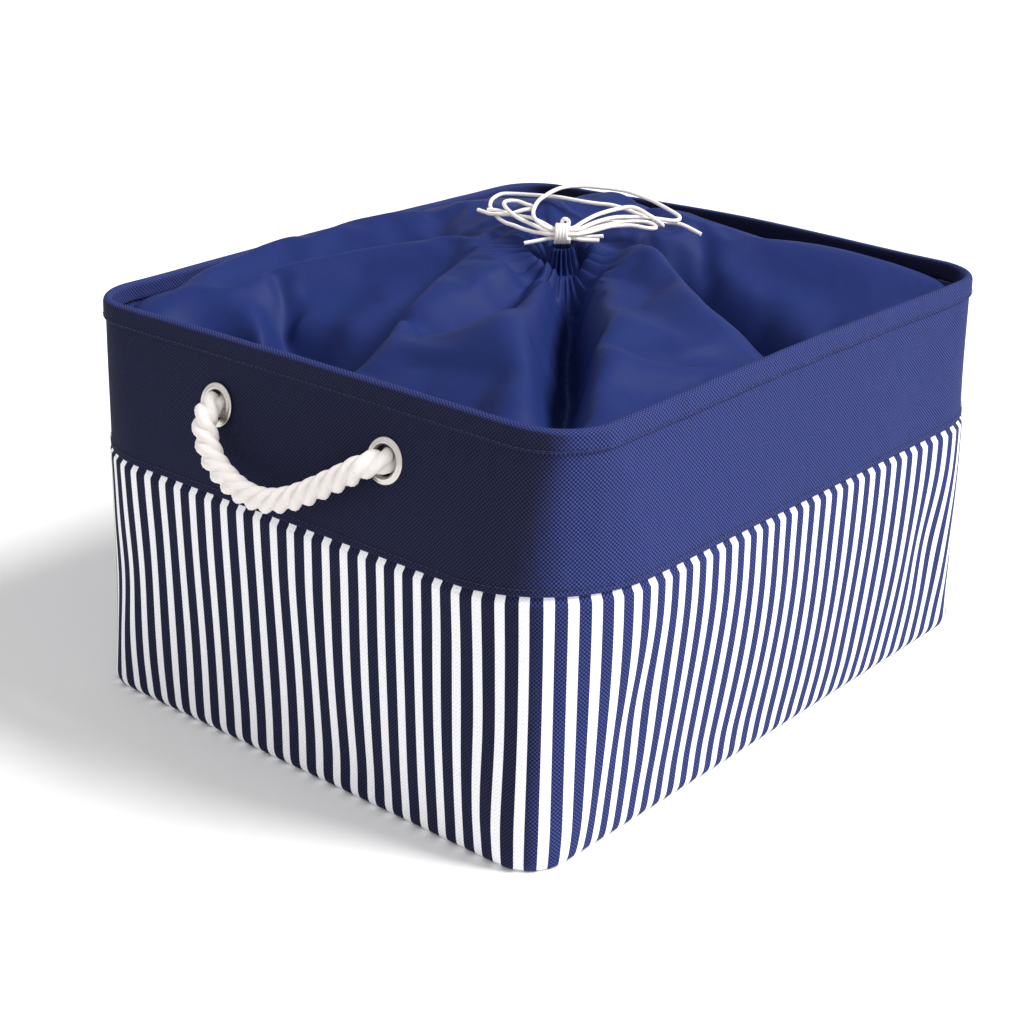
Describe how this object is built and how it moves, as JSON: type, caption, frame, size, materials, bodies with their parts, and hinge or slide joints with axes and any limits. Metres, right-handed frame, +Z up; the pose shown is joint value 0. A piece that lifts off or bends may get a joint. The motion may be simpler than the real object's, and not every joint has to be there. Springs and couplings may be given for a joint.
{
  "type": "fabric storage bin",
  "caption": "Soft rectangular storage bin with striped canvas walls, a wired navy rim band, rope handles through eyelets and a gathered drawstring cover.",
  "frame": {"origin": "middle of the underside, on the surface that the bin stands on", "axes": "+Z up; the two faces with the rope handles look along +X and -X; +Y is towards the back"},
  "size_m": [0.4782, 0.391, 0.2819],
  "materials": {
    "striped_canvas": "navy and white striped plain-weave canvas, coated inside",
    "navy_canvas": "navy plain-weave canvas",
    "cover_cloth": "thin royal navy polyester, soft sheen",
    "base_board": "plain fibreboard",
    "floor_lining": "pale coated cloth",
    "rim_wire": "drawn steel wire",
    "eyelet": "nickel plated",
    "rope": "cream three-strand cotton rope",
    "drawstring": "cream cotton cord"
  },
  "bodies": {
    "base": {"bottom_fabric": "navy_canvas", "base_board": "base_board", "floor_lining": "floor_lining", "striped_lower_panel": "striped_canvas"},
    "rim": {"navy_upper_band": "navy_canvas", "rim_hem": "navy_canvas", "rim_wire": "rim_wire", "cover_cloth": "cover_cloth", "grommet_left_front": "eyelet", "grommet_left_back": "eyelet", "grommet_right_front": "eyelet", "grommet_right_back": "eyelet", "washer_left_front": "eyelet", "washer_left_back": "eyelet", "washer_right_front": "eyelet", "washer_right_back": "eyelet", "rope_end_left_front": "rope", "rope_end_left_back": "rope", "rope_end_right_front": "rope", "rope_end_right_back": "rope"},
    "left_handle": {"rope_handle_left": "rope"},
    "right_handle": {"rope_handle_right": "rope"},
    "cover_mouth": {"mouth_casing": "cover_cloth", "drawstring_in_casing": "drawstring", "drawstring_knot": "drawstring", "drawstring_long_loop": "drawstring", "drawstring_left_loop": "drawstring", "drawstring_high_arc": "drawstring", "drawstring_right_loop": "drawstring", "drawstring_far_right_tail": "drawstring", "drawstring_upper_right_tail": "drawstring", "drawstring_lower_right_tail": "drawstring", "drawstring_left_tail": "drawstring", "drawstring_far_left_tail": "drawstring"}
  },
  "joints": [
    {"name": "rim_collapse", "type": "slide", "parent": "base", "child": "rim", "axis": [0, 0, 1], "range_m": [-0.13, 0], "deforming": ["striped_lower_panel"]},
    {"name": "left_handle_swing", "type": "hinge", "parent": "rim", "child": "left_handle", "pos_m": [-0.21818, -0.0058, 0.20635], "axis": [0, 1, 0], "range_deg": [-12, 150]},
    {"name": "right_handle_swing", "type": "hinge", "parent": "rim", "child": "right_handle", "pos_m": [0.21818, -0.0058, 0.20635], "axis": [0, -1, 0], "range_deg": [-12, 150]},
    {"name": "cover_mouth_lift", "type": "slide", "parent": "rim", "child": "cover_mouth", "axis": [0, 0, 1], "range_m": [-0.025, 0.045], "deforming": ["cover_cloth"]}
  ]
}
